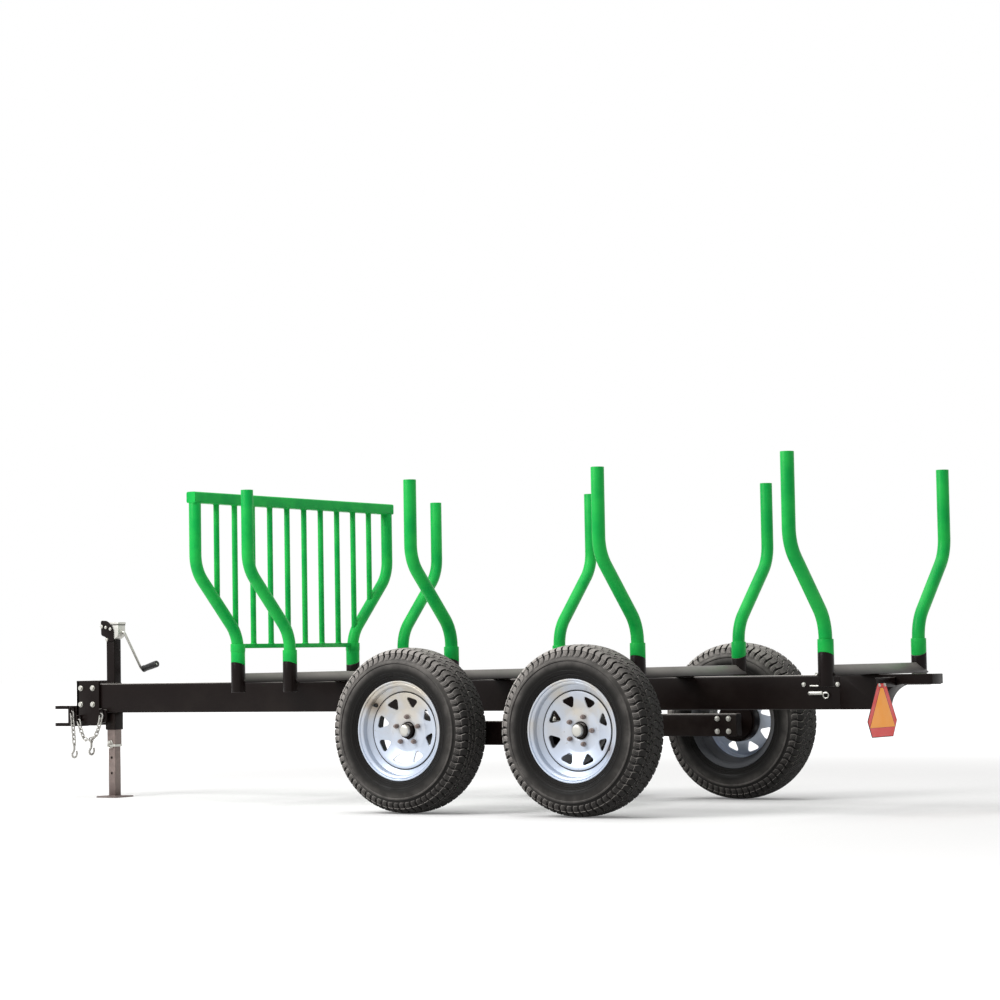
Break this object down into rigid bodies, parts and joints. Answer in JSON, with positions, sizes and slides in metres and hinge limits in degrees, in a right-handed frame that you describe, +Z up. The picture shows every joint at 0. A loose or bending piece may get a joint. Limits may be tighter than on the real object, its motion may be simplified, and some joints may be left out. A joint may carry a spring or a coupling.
{
  "type": "tandem-axle log trailer with bunks and stakes",
  "caption": "Forestry log trailer: spine beam, bunks with bent stakes, slatted headboard, walking-beam bogies on turf tyres, hitch clevis and side-wind jack.",
  "frame": {"origin": "centre of the overall box, on the floor", "axes": "+X towards the hitch, +Y to the trailer's left side, +Z up"},
  "size_m": [4.71, 1.556, 1.412],
  "materials": {
    "black_paint": "gloss black paint",
    "green_paint": "gloss green paint",
    "silver_paint": "satin silver paint",
    "zinc": "dull zinc plate",
    "chain_zinc": "dull zinc plate",
    "tyre": "matt rubber",
    "grip": "matt black plastic",
    "sign": "fluorescent orange with a red border"
  },
  "bodies": {
    "chassis": {"bogie_beam_left": "black_paint", "bogie_beam_right": "black_paint", "bunk_1": "black_paint", "bunk_2": "black_paint", "bunk_3": "black_paint", "bunk_4": "black_paint", "cross_axle": "black_paint", "headboard": "green_paint", "headboard_bunk": "black_paint", "hitch_bracket": "black_paint", "hitch_clevis": "black_paint", "jack_head": "zinc", "jack_sleeve": "black_paint", "jack_tube": "black_paint", "lock_pin": "zinc", "main_beam": "black_paint", "rear_beam": "black_paint", "safety_chain_front": "chain_zinc", "safety_chain_side": "chain_zinc", "spindles_left": "black_paint", "spindles_right": "black_paint", "stake_1_left": "green_paint", "stake_1_right": "green_paint", "stake_2_left": "green_paint", "stake_2_right": "green_paint", "stake_3_left": "green_paint", "stake_3_right": "green_paint", "stake_4_left": "green_paint", "stake_4_right": "green_paint", "warning_triangle": "sign"},
    "wheel_front_left": {"tyre_front_left": "tyre", "rim_front_left": "silver_paint", "hub_front_left": "black_paint"},
    "wheel_front_right": {"tyre_front_right": "tyre", "rim_front_right": "silver_paint", "hub_front_right": "black_paint"},
    "wheel_rear_left": {"tyre_rear_left": "tyre", "rim_rear_left": "silver_paint", "hub_rear_left": "black_paint"},
    "wheel_rear_right": {"tyre_rear_right": "tyre", "rim_rear_right": "silver_paint", "hub_rear_right": "black_paint"},
    "leg": {"jack_leg": "zinc"},
    "crank": {"jack_crank": "zinc", "crank_grip": "grip"}
  },
  "joints": [
    {"name": "front_left_wheel", "type": "hinge", "parent": "chassis", "child": "wheel_front_left", "pos_m": [-0.258, 0.674, 0.346], "axis": [0, 1, 0], "continuous": true},
    {"name": "front_right_wheel", "type": "hinge", "parent": "chassis", "child": "wheel_front_right", "pos_m": [-0.258, -0.674, 0.346], "axis": [0, 1, 0], "continuous": true},
    {"name": "rear_left_wheel", "type": "hinge", "parent": "chassis", "child": "wheel_rear_left", "pos_m": [-1.106, 0.674, 0.346], "axis": [0, 1, 0], "continuous": true},
    {"name": "rear_right_wheel", "type": "hinge", "parent": "chassis", "child": "wheel_rear_right", "pos_m": [-1.106, -0.674, 0.346], "axis": [0, 1, 0], "continuous": true},
    {"name": "jack_leg_slide", "type": "slide", "parent": "chassis", "child": "leg", "axis": [0, 0, 1], "range_m": [0, 0.225]},
    {"name": "jack_crank_turn", "type": "hinge", "parent": "chassis", "child": "crank", "pos_m": [1.92, 0, 0.8], "axis": [1, 0, 0], "continuous": true}
  ]
}
